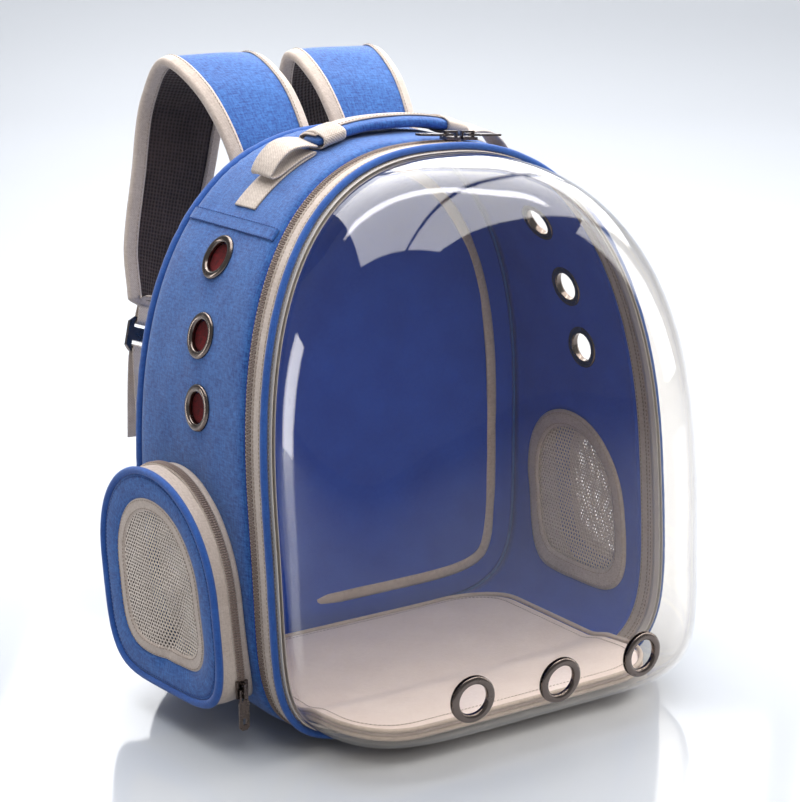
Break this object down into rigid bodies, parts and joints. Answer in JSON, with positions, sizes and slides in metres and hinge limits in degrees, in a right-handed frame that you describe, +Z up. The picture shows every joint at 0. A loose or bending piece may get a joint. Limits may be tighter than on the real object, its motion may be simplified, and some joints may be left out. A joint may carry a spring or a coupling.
{
  "type": "pet carrier backpack",
  "caption": "Padded cloth backpack with a clear domed front, side net windows and pockets, vent eyelets, a top handle and padded shoulder straps, for carrying a small pet.",
  "frame": {"origin": "on the ground under the middle of the shell", "axes": "+Z up, -Y out through the clear domed front, +X to the wearer's left when it is worn on the back, which is the right side seen from the front"},
  "size_m": [0.4352, 0.4291, 0.4649],
  "materials": {
    "blue_oxford": "coated polyester oxford cloth over thin foam, matt",
    "beige_tape": "beige woven tape and webbing, matt",
    "zip_coil": "brown-beige zip tape with a nylon coil",
    "clear_sheet": "thermoformed clear plastic sheet, glossy; glass stands for clear plastic",
    "dark_nickel": "dark nickel plate, polished",
    "red_gauze": "fine woven gauze",
    "beige_net": "open knitted polyester net",
    "mat_cloth": "soft short-pile cloth over foam, matt"
  },
  "bodies": {
    "carrier": {"side_eyelet_left_top": "dark_nickel", "eyelet_gauze_top": "red_gauze", "side_eyelet_left_middle": "dark_nickel", "eyelet_gauze_middle": "red_gauze", "side_eyelet_left_bottom": "dark_nickel", "eyelet_gauze_bottom": "red_gauze", "side_eyelet_right_top": "dark_nickel", "side_eyelet_right_middle": "dark_nickel", "side_eyelet_right_bottom": "dark_nickel", "shell_gusset": "blue_oxford", "back_panel": "blue_oxford", "back_seam_tape": "beige_tape", "front_binding": "blue_oxford", "rear_piping": "blue_oxford", "trim_tape": "beige_tape", "main_zip": "zip_coil", "dome_eyelet_left": "dark_nickel", "dome_eyelet_middle": "dark_nickel", "dome_eyelet_right": "dark_nickel", "clear_dome": "clear_sheet", "floor_mat": "mat_cloth", "main_zip_left_slider": "dark_nickel", "main_zip_right_slider": "dark_nickel", "handle_grip": "blue_oxford", "handle_cuff_left": "beige_tape", "handle_webbing_left": "beige_tape", "handle_cuff_right": "beige_tape", "handle_webbing_right": "beige_tape", "pocket_left_wall": "beige_tape", "pocket_left_piping": "blue_oxford", "pocket_left_frame": "blue_oxford", "pocket_left_border": "beige_tape", "pocket_left_net": "beige_net", "pocket_left_zip": "zip_coil", "window_left_border": "beige_tape", "window_left_net": "beige_net", "pocket_left_slider": "dark_nickel", "strap_left_pad": "blue_oxford", "strap_left_binding": "beige_tape", "strap_left_buckle": "dark_nickel", "strap_left_loop": "beige_tape", "strap_left_webbing": "beige_tape", "pocket_right_wall": "beige_tape", "pocket_right_piping": "blue_oxford", "pocket_right_frame": "blue_oxford", "pocket_right_border": "beige_tape", "pocket_right_net": "beige_net", "pocket_right_zip": "zip_coil", "window_right_border": "beige_tape", "window_right_net": "beige_net", "pocket_right_slider": "dark_nickel", "strap_right_pad": "blue_oxford", "strap_right_binding": "beige_tape", "strap_right_buckle": "dark_nickel", "strap_right_loop": "beige_tape", "strap_right_webbing": "beige_tape"},
    "main_zip_left_pull": {"main_zip_left_pull": "dark_nickel"},
    "main_zip_right_pull": {"main_zip_right_pull": "dark_nickel"},
    "pocket_left_pull": {"pocket_left_pull": "dark_nickel"},
    "pocket_right_pull": {"pocket_right_pull": "dark_nickel"}
  },
  "joints": [
    {"name": "main_zip_left_pull_hinge", "type": "hinge", "parent": "carrier", "child": "main_zip_left_pull", "pos_m": [0.02276, -0.02396, 0.41939], "axis": [0, 1, 0], "range_deg": [0, 96]},
    {"name": "main_zip_right_pull_hinge", "type": "hinge", "parent": "carrier", "child": "main_zip_right_pull", "pos_m": [0.03776, -0.02425, 0.41834], "axis": [0, -1, 0], "range_deg": [0, 96]},
    {"name": "pocket_left_pull_hinge", "type": "hinge", "parent": "carrier", "child": "pocket_left_pull", "pos_m": [-0.18702, -0.07148, 0.04683], "axis": [-1, 0, 0], "range_deg": [0, 100]},
    {"name": "pocket_right_pull_hinge", "type": "hinge", "parent": "carrier", "child": "pocket_right_pull", "pos_m": [0.18702, -0.07148, 0.04683], "axis": [-1, 0, 0], "range_deg": [0, 100]}
  ]
}
